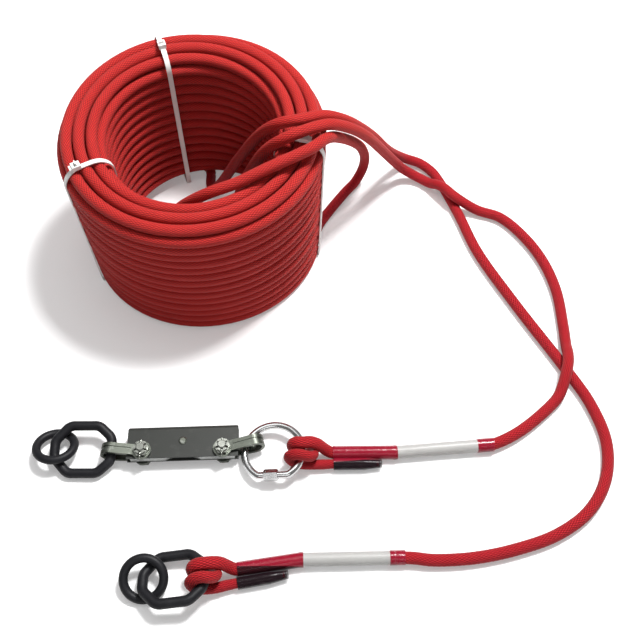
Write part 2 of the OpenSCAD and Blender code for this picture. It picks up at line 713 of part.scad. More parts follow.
// sheet folded along its far edge; rounded far corners, open near edge
module weak_link_sleeve() {
    far = sleeve_w / 2 - bolt_off;
    near = far - sleeve_w;
    half = sleeve_t / 2;
    l = sleeve_l;
    color([0.33, 0.34, 0.31]) in_sleeve() difference() {
        intersection() {
            difference() {
                union() {
                    translate([-l / 2, near, -half]) cube([l, sleeve_w - half, sleeve_t]);
                    translate([-l / 2, far - half, 0]) rotate([0, 90, 0])
                        cylinder(h = l, r = half);
                }
                translate([-l / 2 - 1, near - 1, -half + sleeve_s])
                    cube([l + 2, sleeve_w - half + 1, sleeve_t - 2 * sleeve_s]);
                translate([-l / 2 - 1, far - half, 0]) rotate([0, 90, 0])
                    cylinder(h = l + 2, r = half - sleeve_s);
            }
            // plan outline with the two far corners rounded
            union() {
                translate([-l / 2, near, -10]) cube([l, sleeve_w - 3.5, 20]);
                translate([-l / 2 + 3.5, near, -10]) cube([l - 7, sleeve_w, 20]);
                for (x = [-l / 2 + 3.5, l / 2 - 3.5])
                    translate([x, far - 3.5, -10]) cylinder(h = 20, r = 3.5);
            }
        }
        for (x = [-bolt_pitch / 2, bolt_pitch / 2])
            translate([x, 0, -10]) cylinder(h = 20, r = bolt_r + 0.1);
        translate([0, -bolt_off, -10]) cylinder(h = 20, r = 2.55);
    }
}

module sleeve_rivet() {
    half = sleeve_t / 2;
    color(zinc) in_sleeve() translate([0, -bolt_off, 0]) {
        translate([0, 0, -half - 1]) cylinder(h = sleeve_t + 2, r = 2.5);
        for (side = [0, 180]) rotate([side, 0, 0]) translate([0, 0, half + 0.02]) {
            cylinder(h = 0.4, r = 3.8);
            translate([0, 0, 0.4]) cylinder(h = 0.8, r1 = 3.8, r2 = 2.6);
        }
    }
}

// flat tear piece with a waist; the reserve piece has one long hole
module weak_link_insert(long) {
    w = 13.4;
    t = 2.5;
    r_waist = 40;
    difference() {
        union() {
            translate([-bolt_pitch / 2, -w / 2, 0]) cube([bolt_pitch, w, t]);
            for (x = [-bolt_pitch / 2, bolt_pitch / 2])
                translate([x, 0, 0]) cylinder(h = t, r = 12.5);
        }
        // trims the round ends to the width that fits in the sleeve
        for (side = [0, 180]) rotate([0, 0, side])
            translate([-60, w / 2, -1]) cube([120, 10, t + 2]);
        for (side = [1, -1])
            translate([0, side * (r_waist + 3.4), -1]) cylinder(h = t + 2, r = r_waist);
        translate([-bolt_pitch / 2, 0, -1]) cylinder(h = t + 2, r = bolt_r + 0.1);
        translate([bolt_pitch / 2, 0, -1]) cylinder(h = t + 2, r = bolt_r + 0.1);
        if (long > 0) {
            translate([bolt_pitch / 2 - long, 0, -1]) cylinder(h = t + 2, r = bolt_r + 0.1);
            translate([bolt_pitch / 2 - long, -bolt_r - 0.1, -1])
                cube([long, 2 * bolt_r + 0.2, t + 2]);
        }
    }
}

module weak_link_insert_primary() {
    color(steel) in_sleeve() translate([0, 0, 0.1]) weak_link_insert(0);
}

module weak_link_insert_reserve() {
    color([0.62, 0.2, 0.16]) in_sleeve() translate([0, 0, -2.6]) weak_link_insert(3);
}

// ----------------------------------------------------------- links and rings

// oval link with its right bar's middle at the point p
module oval_link(p, lean_x, tilt_y, turn) {
    color(black) translate(place + p) rotate([0, 0, turn]) rotate([lean_x, 0, 0]) rotate([0, tilt_y, 0])
        translate([-26, 0, 0]) wire_loop(oval_half, oval_fillet, oval_d);
}

module oval_link_a() {
    oval_link(link_a_c, oval_a_lean, oval_a_tilt, oval_a_turn);
}

module oval_link_b() {
    oval_link(link_b_c, oval_b_lean, oval_b_tilt, 4);
}

module round_ring(p, lean_x, turn) {
    color(black) translate(place + p + [0, 0, ring_d / 2 + ring_r * sin(abs(lean_x))])
        rotate([0, 0, turn]) rotate([lean_x, 0, 0])
            rotate_extrude() translate([ring_r, 0]) circle(d = ring_d);
}

ring_a_c = [left_bow[0] - 51.9, left_bow[1] + 5, 1.6];
ring_b_c = [-159.4, -236.8, 0];

module round_ring_a() {
    round_ring(ring_a_c, ring_a_lean, ring_a_turn);
}

module round_ring_b() {
    round_ring(ring_b_c, ring_b_lean, 4);
}

// ------------------------------------------------------------------ assembly

rope_coil();
rope_coil_core();
rope_loop();
rope_run_a();
rope_run_b();
rope_eye_a();
rope_eye_b();
tail_tape_a();
tail_tape_b();
shrink_tube_a();
shrink_tube_b();
white_sleeve_a();
white_sleeve_b();
cable_tie_1();
cable_tie_2();
cable_tie_3();
quick_link_body();
quick_link_nut();
shackle_right();
shackle_left();
shackle_bolts();
castle_nuts();
split_pins();
weak_link_sleeve();
sleeve_rivet();
weak_link_insert_primary();
weak_link_insert_reserve();
oval_link_a();
oval_link_b();
round_ring_a();
round_ring_b();
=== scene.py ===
"""Visual model of a wound tow rope with fitted ends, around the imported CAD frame."""
import math

import bmesh
import bpy
from mathutils import Matrix, Vector


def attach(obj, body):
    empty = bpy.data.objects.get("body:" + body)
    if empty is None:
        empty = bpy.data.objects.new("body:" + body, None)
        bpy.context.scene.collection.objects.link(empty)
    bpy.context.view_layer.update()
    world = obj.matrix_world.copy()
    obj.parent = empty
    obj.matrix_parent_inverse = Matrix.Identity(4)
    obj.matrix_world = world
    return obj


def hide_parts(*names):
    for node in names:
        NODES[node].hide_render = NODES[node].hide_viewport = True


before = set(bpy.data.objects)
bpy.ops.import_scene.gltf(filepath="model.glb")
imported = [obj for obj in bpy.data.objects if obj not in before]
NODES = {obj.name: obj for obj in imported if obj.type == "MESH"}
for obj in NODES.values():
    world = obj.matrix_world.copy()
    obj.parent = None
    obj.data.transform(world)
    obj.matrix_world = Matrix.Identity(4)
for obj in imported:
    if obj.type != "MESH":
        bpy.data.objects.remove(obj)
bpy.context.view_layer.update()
MM = 0.001
UP = Vector((0, 0, 1))
PLACE = Vector((7.96, -0.78, 0.0))


def at(p):
    """A route point of the source, in millimetres, as a point of the row frame in metres."""
    return (Vector(p) + PLACE) * MM


# ------------------------------------------------------------------- camera

SENSOR = 36.0
FOCAL_PX, WIDTH_PX = 900.0, 643.0
CAMERA_AT = (-10.0, -470.0, 762.0)
CAMERA_TILT = 33.3


def make_camera():
    data = bpy.data.cameras.new("camera")
    data.sensor_fit = "HORIZONTAL"
    data.sensor_width = SENSOR
    data.lens = SENSOR * FOCAL_PX / WIDTH_PX
    data.clip_start = 0.01
    data.clip_end = 20.0
    cam = bpy.data.objects.new("camera", data)
    cam.location = at(CAMERA_AT)
    cam.rotation_euler = (math.radians(CAMERA_TILT), 0.0, 0.0)
    bpy.context.collection.objects.link(cam)
    bpy.context.scene.camera = cam


make_camera()

# ------------------------------------------------------------- mesh helpers


def new_mesh(name, verts, faces, uv):
    mesh = bpy.data.meshes.new(name)
    mesh.from_pydata([tuple(v) for v in verts], [], faces)
    mesh.update()
    layer = mesh.uv_layers.new(name="UVMap")
    layer.data.foreach_set("uv", [x for loops in uv for pair in loops for x in pair])
    mesh.polygons.foreach_set("use_smooth", [True] * len(mesh.polygons))
    obj = bpy.data.objects.new(name, mesh)
    bpy.context.collection.objects.link(obj)
    return obj


def spline_part(four, step):
    """Centripetal Catmull-Rom curve from the second of four points to the third, without its end."""
    p0, p1, p2, p3 = four
    t = [0.0]
    for a, b in ((p0, p1), (p1, p2), (p2, p3)):
        t.append(t[-1] + max((b - a).length, 1e-6) ** 0.5)
    m1 = (p1 - p0) / (t[1] - t[0]) - (p2 - p0) / (t[2] - t[0]) + (p2 - p1) / (t[2] - t[1])
    m2 = (p2 - p1) / (t[2] - t[1]) - (p3 - p1) / (t[3] - t[1]) + (p3 - p2) / (t[3] - t[2])
    m1 *= t[2] - t[1]
    m2 *= t[2] - t[1]
    n = max(1, round((p2 - p1).length / step))
    return [(2 * s ** 3 - 3 * s ** 2 + 1) * p1 + (s ** 3 - 2 * s ** 2 + s) * m1
            + (3 * s ** 2 - 2 * s ** 3) * p2 + (s ** 3 - s ** 2) * m2
            for s in (k / n for k in range(n))]


def stretches(points, step):
    """The curve through the points, one list for each stretch between two of them."""
    p = [2 * points[0] - points[1]] + points + [2 * points[-1] - points[-2]]
    return [spline_part(p[i - 1:i + 3], step) for i in range(1, len(p) - 2)]


def even(points, step):
    """The same line with points a steady distance apart."""
    out = [points[0].copy()]
    need = step
    for a, b in zip(points, points[1:]):
        d = (b - a).length
        while d >= need > 0:
            a = a + (b - a) * (need / d)
            out.append(a.copy())
            d = (b - a).length
            need = step
        need -= d
    if (out[-1] - points[-1]).length < 0.4 * step:
        out[-1] = points[-1].copy()
    else:
        out.append(points[-1].copy())
    return out


def sides_along(path):
    """Two unit side vectors for each point, carried along the path without twist."""
    out = []
    a = UP
    for i in range(len(path)):
        t = (path[min(i + 1, len(path) - 1)] - path[max(i - 1, 0)]).normalized()
        a = (a - a.dot(t) * t).normalized()
        out.append((a, t.cross(a)))
    return out


def tube(name, path, radius, sides, relief=None):
    """Round skin with capped ends along a path in metres. radius is a number, or a function of the
    ring's index that gives two half widths. relief adds a height for (distance, turn)."""
    verts, faces, uv = [], [], []
    run = [0.0]
    for a, b in zip(path, path[1:]):
        run.append(run[-1] + (b - a).length)
    for i, (p, (a, b)) in enumerate(zip(path, sides_along(path))):
        ra, rb = radius(i) if callable(radius) else (radius, radius)
        for k in range(sides):
            w = 2 * math.pi * k / sides
            h = relief(run[i], k / sides) if relief else 0.0
            verts.append(p + a * (ra + h) * math.cos(w) + b * (rb + h) * math.sin(w))
    for i in range(len(path) - 1):
        for k in range(sides):
            j = (k + 1) % sides
            faces.append((i * sides + k, (i + 1) * sides + k, (i + 1) * sides + j, i * sides + j))
            u0, u1, v0, v1 = run[i], run[i + 1], k / sides, (k + 1) / sides
            uv.append(((u0, v0), (u1, v0), (u1, v1), (u0, v1)))
    last = (len(path) - 1) * sides
    faces.append(tuple(range(sides)))
    uv.append([(0.0, k / sides) for k in range(sides)])
    faces.append(tuple(last + k for k in reversed(range(sides))))
    uv.append([(run[-1], k / sides) for k in reversed(range(sides))])
    obj = new_mesh(name, verts, faces, uv)
    for cap in obj.data.polygons[-2:]:
        cap.use_smooth = False
    return obj


# ---------------------------------------------------------------- materials


class Nodes:
    """Short hand for building a node tree."""

    def __init__(self, name):
        self.mat = bpy.data.materials.new(name)
        self.mat.use_nodes = True
        self.tree = self.mat.node_tree
        self.tree.nodes.clear()
        self.out = self.tree.nodes.new("ShaderNodeOutputMaterial")
        self.bsdf = self.tree.nodes.new("ShaderNodeBsdfPrincipled")
        self.link(self.bsdf, "BSDF", self.out, "Surface")

    def link(self, a, a_out, b, b_in):
        self.tree.links.new(a.outputs[a_out], b.inputs[b_in])

    def fill(self, sock, value):
        """A number, a colour or another node's output, into an input."""
        if isinstance(value, (int, float)):
            sock.default_value = value
        elif isinstance(value, tuple):
            sock.default_value = (*value, 1.0)
        else:
            self.tree.links.new(value, sock)

    def math(self, op, a, b=None, clamp=False):
        n = self.tree.nodes.new("ShaderNodeMath")
        n.operation = op
        n.use_clamp = clamp
        self.fill(n.inputs[0], a)
        if b is not None:
            self.fill(n.inputs[1], b)
        return n.outputs[0]

    def vector(self, op, a, b=None):
        n = self.tree.nodes.new("ShaderNodeVectorMath")
        n.operation = op
        self.tree.links.new(a, n.inputs[0])
        if b is not None:
            n.inputs[1].default_value = b
        return n.outputs["Value"]

    def coord(self, kind):
        return self.tree.nodes.new("ShaderNodeTexCoord").outputs[kind]

    def split(self, vector):
        n = self.tree.nodes.new("ShaderNodeSeparateXYZ")
        self.tree.links.new(vector, n.inputs[0])
        return n.outputs

    def noise(self, scale, detail=2.0, vector=None, rough=0.5):
        n = self.tree.nodes.new("ShaderNodeTexNoise")
        n.inputs["Scale"].default_value = scale
        n.inputs["Detail"].default_value = detail
        n.inputs["Roughness"].default_value = rough
        self.tree.links.new(self.coord("Object") if vector is None else vector, n.inputs["Vector"])
        return n.outputs["Fac"]

    def ramp(self, fac, stops):
        n = self.tree.nodes.new("ShaderNodeValToRGB")
        ramp = n.color_ramp
        while len(ramp.elements) < len(stops):
            ramp.elements.new(0.5)
        for e, (pos, col) in zip(ramp.elements, stops):
            e.position = pos
            e.color = (*col, 1.0)
        self.tree.links.new(fac, n.inputs["Fac"])
        return n.outputs["Color"]

    def mix(self, fac, a, b, mode="MIX"):
        n = self.tree.nodes.new("ShaderNodeMix")
        n.data_type = "RGBA"
        n.blend_type = mode
        for name, kind, value in (("Factor", "VALUE", fac), ("A", "RGBA", a), ("B", "RGBA", b)):
            self.fill([s for s in n.inputs if s.name == name and s.type == kind][0], value)
        return [s for s in n.outputs if s.type == "RGBA"][0]

    def bump(self, height, distance):
        n = self.tree.nodes.new("ShaderNodeBump")
        n.inputs["Distance"].default_value = distance
        self.tree.links.new(height, n.inputs["Height"])
        return n.outputs["Normal"]

    def set(self, **values):
        for name, value in values.items():
            self.fill(self.bsdf.inputs[name.replace("_", " ")], value)


BRAID_STEP = 4.2 * MM
BRAID_STRANDS = 8
BRAID_BUMP = 0.7 * MM
# RED_TOP is the rope's own red on the strand crests; the two darker reds after it are painted shade
# towards the grooves between the strands.
RED_TOP = (0.60, 0.032, 0.022)
RED_MID = (0.36, 0.014, 0.015)
RED_GROOVE_SHADE = (0.05, 0.002, 0.005)
RED_PATCH = (0.8, 0.72, 0.75)
# Painted shade near the floor for the free rope: the tint below darkens it towards a deeper red,
# fading out at the height after it.
FLOOR_SHADE_TINT = (0.84, 0.45, 0.95)
FLOOR_SHADE_UNDER = 130 * MM


def rope_material(name, painted_floor_shade=False):
    """Braided cover: two families of strands crossing, a diamond a few millimetres long, with
    painted shade in the grooves between the strands. The free rope also gets painted shade near the
    floor: darker and a deeper red the nearer it lies to the floor."""
    m = Nodes(name)
    uv = m.split(m.coord("UV"))
    along = m.math("DIVIDE", uv["X"], BRAID_STEP * 2)
    around = m.math("MULTIPLY", uv["Y"], BRAID_STRANDS)
    a = m.math("MULTIPLY", m.math("ADD", along, around), 2 * math.pi)
    b = m.math("MULTIPLY", m.math("SUBTRACT", along, around), 2 * math.pi)
    cross = m.math("MULTIPLY", m.math("COSINE", a), m.math("COSINE", b))
    strand = m.math("POWER", m.math("ABSOLUTE", cross), 0.55)
    fibre_at = m.tree.nodes.new("ShaderNodeCombineXYZ")
    m.fill(fibre_at.inputs[0], m.math("MULTIPLY", uv["X"], 900.0))
    m.fill(fibre_at.inputs[1], m.math("MULTIPLY", uv["Y"], 60.0))
    fibre = m.noise(1.0, 3.0, fibre_at.outputs[0], 0.6)
    height = m.math("ADD", m.math("MULTIPLY", strand, 0.8), m.math("MULTIPLY", fibre, 0.35))
    # shade runs from the grooves to the strand crests: the ramp paints shade into the grooves, and
    # the fibre noise adds the rope's own tone change.
    shade = m.math("ADD", m.math("MULTIPLY", strand, 0.75), m.math("MULTIPLY", fibre, 0.3))
    color = m.ramp(shade, [(0.12, RED_GROOVE_SHADE), (0.5, RED_MID), (0.92, RED_TOP)])
    patch = m.math("MULTIPLY", m.noise(34.0), 0.35)
    color = m.mix(patch, color, m.mix(1.0, color, RED_PATCH, "MULTIPLY"))
    if painted_floor_shade:
        # Painted shade: the free rope is darkened and tinted deeper red the nearer it lies to the
        # floor.
        height_share = m.math("DIVIDE", m.split(m.coord("Object"))["Z"], FLOOR_SHADE_UNDER)
        floor_shade_share = m.math("SUBTRACT", 1.0, height_share, clamp=True)
        color = m.mix(floor_shade_share, color, m.mix(1.0, color, FLOOR_SHADE_TINT, "MULTIPLY"))
    m.set(Base_Color=color, Roughness=0.62, Specular_IOR_Level=0.16, Sheen_Weight=0.06,
          Sheen_Roughness=0.45, Sheen_Tint=(1.0, 0.55, 0.5), Normal=m.bump(height, BRAID_BUMP))
    return m.mat


def plain_material(name, color, rough, scale=60.0, tone=0.12):
    """Plastic with a slight change of tone."""
    m = Nodes(name)
    dark = tuple(c * (1 - tone) for c in color)
    light = tuple(min(1.0, c * (1 + tone)) for c in color)
    gloss = m.math("MULTIPLY", m.noise(scale * 3.1), 0.16)
    m.set(Base_Color=m.ramp(m.noise(scale, 3.0), [(0.3, dark), (0.7, light)]),
          Roughness=m.math("ADD", gloss, rough - 0.08))
    return m.mat


def worn_material(name, color, wear, rough, metal, spread, scale, grain=0.06 * MM, shine=0.5):
    """Coated or plated metal with paler rubbed patches."""
    m = Nodes(name)
    spots = m.noise(scale, 5.0, rough=0.65)
    rubbed = m.math("MULTIPLY", m.math("SUBTRACT", spots, 0.56), 6.0, clamp=True)
    gloss = m.math("MULTIPLY", m.noise(scale * 2.3, 3.0), 0.25)
    m.set(Base_Color=m.mix(m.math("MULTIPLY", rubbed, spread), color, wear), Metallic=metal,
          Specular_IOR_Level=shine, Roughness=m.math("ADD", gloss, rough - 0.12),
          Normal=m.bump(m.noise(scale * 14, 3.0), grain))
    return m.mat


FILM_RED = (0.34, 0.010, 0.032)
FILM_PALE = (0.5, 0.44, 0.44)
FILM_DARK = (0.014, 0.006, 0.009)
FILM_ALPHA = 0.5
SLEEVE_ALPHA = 0.07
SLEEVE_FROM, SLEEVE_TO = 2.0 * MM, 76.0 * MM
TAIL_SIDE = 6.6 * MM


def film_material(name, node, knee, mouth):
    """Shrunk film: red and glossy over the rope, clear over the white sleeve, dark over the tail."""
    to_local = node.matrix_world.inverted()
    origin = to_local @ at(knee)
    along = (to_local @ at(mouth) - origin).normalized()
    aside = along.cross(UP).normalized()
    m = Nodes(name)
    place = m.coord("Object")

    def reach(way):
        return m.math("SUBTRACT", m.vector("DOT_PRODUCT", place, way), origin.dot(way))

    run = reach(along)
    sleeve = m.math("MULTIPLY", m.math("GREATER_THAN", run, SLEEVE_FROM),
                    m.math("LESS_THAN", run, SLEEVE_TO))
    tail = m.math("GREATER_THAN", reach(aside), TAIL_SIDE)
    thinner = m.math("MULTIPLY", sleeve, FILM_ALPHA - SLEEVE_ALPHA)
    m.set(Base_Color=m.mix(tail, m.mix(sleeve, FILM_RED, FILM_PALE), FILM_DARK), Roughness=0.2,
          Specular_IOR_Level=m.math("SUBTRACT", 0.4, m.math("MULTIPLY", tail, 0.25)),
          Alpha=m.math("SUBTRACT", FILM_ALPHA, thinner),
          Normal=m.bump(m.noise(160.0, 3.0), 0.4 * MM))
    return m.mat


MAT_ROPE = rope_material("braided_red")
# The free rope's material carries painted shade near the floor.
MAT_ROPE_FREE_SHADED = rope_material("braided_red_free_floor_shade", painted_floor_shade=True)
MAT_TAPE = plain_material("tape_dark", (0.014, 0.009, 0.013), 0.6)
MAT_WHITE = plain_material("sleeve_white", (0.385, 0.39, 0.375), 0.5, scale=40.0, tone=0.06)
MAT_TIE = plain_material("tie_nylon", (0.74, 0.74, 0.72), 0.42, scale=50.0, tone=0.05)
MAT_LINK = worn_material("link_black", (0.008, 0.008, 0.01), (0.025, 0.025, 0.028),
                         0.5, 0.0, 0.4, 45.0, shine=0.22)
MAT_SLEEVE = worn_material("sleeve_olive", (0.026, 0.028, 0.025), (0.058, 0.06, 0.054),
                           0.42, 0.15, 0.5, 70.0, shine=0.3)
MAT_ZINC = worn_material("zinc_dull", (0.12, 0.13, 0.11), (0.3, 0.315, 0.285),
                         0.34, 0.9, 0.7, 110.0)
MAT_BOLT = worn_material("zinc_bright", (0.24, 0.25, 0.225), (0.42, 0.43, 0.4),
                         0.32, 0.9, 0.6, 140.0)
MAT_STEEL = worn_material("steel_polished", (0.58, 0.58, 0.58), (0.4, 0.4, 0.4),
                          0.2, 1.0, 0.5, 80.0, grain=0.03 * MM)
MAT_INSERT = worn_material("insert_plain", (0.36, 0.37, 0.36), (0.5, 0.5, 0.5),
                           0.4, 0.8, 0.6, 90.0)

# --------------------------------------------------------------------- coil

COIL_C = Vector((-131.3, 139.7, 0.0))
FOOT = 6.2
LEAN = 0.06
COIL_STEP_DEG = 5.0
COIL_R = 5.45 * MM
COIL_SIDES = 12

# the strand's start: straight out of the hole, bending into the first hidden column
START_ANGLE = 92.0
START_R = 84.0
START_BEND = 14.0
# radii of the columns, heights of their rows
HIDDEN_1_R, HIDDEN_2_R, HOLE_R = 98.0, 109.5, 86.5
LOW_ROW, TOP_ROW, ROW = 17.0, 141.3, 11.3
FLOOR_ROW, SECOND_ROW, HOLE_ROW = 5.7, 16.8, 11.1
RIM = ((92.1, 160.2), (103.9, 162.0), (115.7, 159.9))
WALL_TURNS = 14
WALL_TOP_R, WALL_NARROWS = 120.9, 5.9
WALL_TOP, WALL_DROP = 149.5, 143.3
# the outer wall waves a little between these heights
WAVE, WAVE_OUTSIDE = 0.55, 110
WAVE_LOW, WAVE_HIGH, WAVE_FADE = 20, 150, 20


def coil_keys():
    """(angle, radius, height) of the winding: two hidden columns, then the hole's wall, three
    turns over the rim and the outer wall. A turn climbs in its far half only."""
    keys = [(100.2, HIDDEN_1_R, FOOT)]
    turn = 175.0

    def level(radius, height):
        keys.append((turn, radius, height))
        keys.append((turn + 180.0, radius, height))

    for k in range(12):
        level(HIDDEN_1_R, LOW_ROW + ROW * k)
        turn += 360.0
    keys.pop()
    turn -= 360.0
    keys.append((turn + 20.0, HIDDEN_1_R, TOP_ROW))
    keys.append((turn + 110.0, HIDDEN_2_R, TOP_ROW))
    keys.append((turn + 180.0, HIDDEN_2_R, TOP_ROW))
    turn += 360.0
    for k in range(1, 13):
        level(HIDDEN_2_R, TOP_ROW - ROW * k)
        turn += 360.0
    keys.pop()
    turn -= 360.0
    keys.append((turn + 20.0, HIDDEN_2_R, FLOOR_ROW))
    keys.append((turn + 110.0, HOLE_R, FLOOR_ROW))
    keys.append((turn + 145.0, HOLE_R, FLOOR_ROW))
    keys.append((turn + 245.0, HOLE_R, SECOND_ROW))
    keys.append((turn + 540.0, HOLE_R, SECOND_ROW))
    turn += 720.0
    for k in range(2, 14):
        level(HOLE_R, FLOOR_ROW + HOLE_ROW * k)
        turn += 360.0
    for radius, height in RIM:
        level(radius, height)
        turn += 360.0
    for k in range(WALL_TURNS):
        level(WALL_TOP_R - WALL_NARROWS * k / (WALL_TURNS - 1),
              WALL_TOP - WALL_DROP * k / (WALL_TURNS - 1))
        turn += 360.0
    return keys


def coil_path():
    keys = coil_keys()
    start = math.radians(START_ANGLE)
    e_r = Vector((math.cos(start), math.sin(start), 0))
    e_t = Vector((-math.sin(start), math.cos(start), 0))
    out = []
    for k in range(7):
        w = math.radians(15 * k)
        out.append(COIL_C + e_r * (START_R + START_BEND * math.sin(w))
                   + e_t * (START_BEND * (1 - math.cos(w))) + Vector((0, 0, FOOT)))
    i = 0
    a = keys[0][0] + COIL_STEP_DEG
    while a <= keys[-1][0] + 1e-6:
        while keys[i + 1][0] < a:
            i += 1
        (a0, r0, z0), (a1, r1, z1) = keys[i], keys[i + 1]
        f = (a - a0) / (a1 - a0)
        f = f * f * (3 - 2 * f)
        r = r0 + (r1 - r0) * f
        z = z0 + (z1 - z0) * f
        if r > WAVE_OUTSIDE and WAVE_LOW < z < WAVE_HIGH:
            grow = min(1.0, (z - WAVE_LOW) / WAVE_FADE, (WAVE_HIGH - z) / WAVE_FADE)
            r += grow * WAVE * math.sin(math.radians(2 * a) + z * 0.3)
        w = math.radians(a)
        z = FOOT + (z - FOOT) * (1 + LEAN * math.sin(w))
        out.append(COIL_C + Vector((r * math.cos(w), r * math.sin(w), z)))
        a += COIL_STEP_DEG
    return [at(p) for p in out]


def dress(obj, mat, *nodes):
    """A piece of the rope, standing for these CAD nodes."""
    obj.data.materials.append(mat)
    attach(obj, "rope")
    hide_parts(*nodes)


coil_line = coil_path()
coil = tube("rope_coil_wound", coil_line, COIL_R, COIL_SIDES)
dress(coil, MAT_ROPE, "rope_coil", "rope_coil_core")

# ---------------------------------------------------------- loop, runs, eyes

LOOP = [(-15.78, 140.63, 6.2), (-12, 151, 6.1), (16, 196, 5.7), (27, 209, 8), (35, 217, 20),
        (37, 216, 38), (34, 207, 60), (28, 194, 82), (10, 157, 129), (-6, 118, 167.5),
        (-19, 101, 173), (-60, 80, 168), (-84, 70, 162), (-110, 65, 154), (-134, 71, 132),
        (-152, 85, 100), (-161, 105, 64), (-160, 128, 32), (-150, 144, 12), (-135, 151, 6),
        (-120, 152, 5.6)]
RUN_A = [(-120, 152, 5.6), (-109, 150.5, 13), (-94, 145, 62), (-84, 139, 94), (-60.4, 116.6, 155),
         (-44.4, 111.6, 173.4), (-25, 117, 179), (-5, 129.5, 174), (15, 144, 156), (33, 161, 128),
         (70, 213, 36), (83, 220, 15.5), (97, 217, 8), (111, 207, 8.5), (118, 200, 14),
         (125, 192, 17), (135, 180, 17.3), (159, 170, 7), (184, 160, 5.7), (206, 134, 5.7),
         (222, 102, 5.7), (231, 64, 5.7), (232, 20, 5.7), (230.5, -5, 8.5), (229, -18, 14.8),
         (226, -33, 17.6), (216.5, -59, 8), (206, -71, 5.7), (173, -98, 5.7), (148, -110.6, 6.6),
         (139, -111.7, 6.9)]
RUN_B = [(-134, 220.9, 6), (-133.5, 209, 6.5), (-130, 196, 12), (-120, 187, 29), (-95, 168, 87),
         (-65, 140, 154), (-48, 131, 174), (-29, 131, 179), (-8, 143, 172), (12, 158, 152),
         (28.5, 176, 124), (44, 197, 90), (59, 215, 55), (72, 231, 29), (86, 241, 11.5),
         (101, 240, 5.7), (114, 227, 5.7), (123, 209, 5.7), (139, 165, 5.7), (155, 113, 5.7),
         (187, 46, 5.7), (228, -32, 5.7), (245, -69, 5.7), (253, -108, 5.7), (246, -145, 5.7),
         (226, -175, 5.7), (196, -196, 5.7), (160, -209, 5.7), (122, -217, 5.7),
         (86, -219.2, 6.2), (69, -217.6, 6.8), (54, -217.1, 6.9)]
EYE_A = dict(c=(-27.8, -123.9, 15.35), lean=0.0, turn=-8.0, mouth=(148, -111, 6.9),
             knee=(57.3, -118.9, 6.9), throat=(0.3, -119.4, 7),
             lead=[(-4, -118.5, 8.8), (-8.8, -117.4, 13.7), (-13.4, -116.7, 19.6),
                   (-20, -117, 24.6)],
             tail=[(-17, -130.6, 5.9), (-8, -130.4, 5.9), (1, -130, 5.9), (29, -129.8, 5.9),
                   (42, -129.6, 5.9)])
EYE_B = dict(c=(-108.4, -236.6, 17.2), lean=11.0, turn=4.0, mouth=(61.5, -217, 6.9),
             knee=(-27.5, -219, 6.9), throat=(-81.5, -227.5, 7.2),
             lead=[(-85.6, -227.2, 9.2), (-90.4, -226.4, 14.2), (-95, -226.3, 20.2),
                   (-101, -227.6, 25)],
             tail=[(-98, -243, 6.9), (-90, -240.7, 6), (-81, -238.8, 5.9), (-54, -234, 5.9),
                   (-41, -231.7, 5.9)])
ROPE_STEP = 0.8 * MM
ROPE_SIDES = 32
FREE_R = 5.3 * MM
RUN_RELIEF, EYE_RELIEF = 0.35 * MM, 0.3 * MM
RELIEF_SHARPNESS = RELIEF_MIDDLE = 0.6

# the eye: rope from the run's end to the throat, a round turn about the wire, the tail
EYE_START = 9.02
WRAP_R = 10.4
WRAP_OFF = 6.0
WRAP_POINTS, WRAP_STEP_DEG = 19, 30
WRAP_LEAVES, WRAP_ARRIVES = 300, 420
EYE_UP = [5.4] * 7 + [5.3, 5] + [4.55] * 19 + [4.65, 4.6, 4.2, 4.2, 2.5]
EYE_SIDE = [5.4] * 7 + [5.5, 5.6] + [5.6] * 16 + [5.4, 5.0, 4.7, 4.7, 4.6, 4.2, 4.2, 2.5]
SKIN_INSET = 0.1


def braid_relief(amount):
    def height(run, turn):
        a = 2 * math.pi * (run / (2 * BRAID_STEP) + BRAID_STRANDS * turn)
        b = 2 * math.pi * (run / (2 * BRAID_STEP) - BRAID_STRANDS * turn)
        return amount * (abs(math.cos(a) * math.cos(b)) ** RELIEF_SHARPNESS - RELIEF_MIDDLE)
    return height


def free_rope(name, route, node):
    route = [at(p) for p in route]
    line = even([p for part in stretches(route, ROPE_STEP / 2) for p in part] + route[-1:],
                ROPE_STEP)
    rope = tube(name, line, FREE_R, ROPE_SIDES, braid_relief(RUN_RELIEF))
    dress(rope, MAT_ROPE_FREE_SHADED, node)


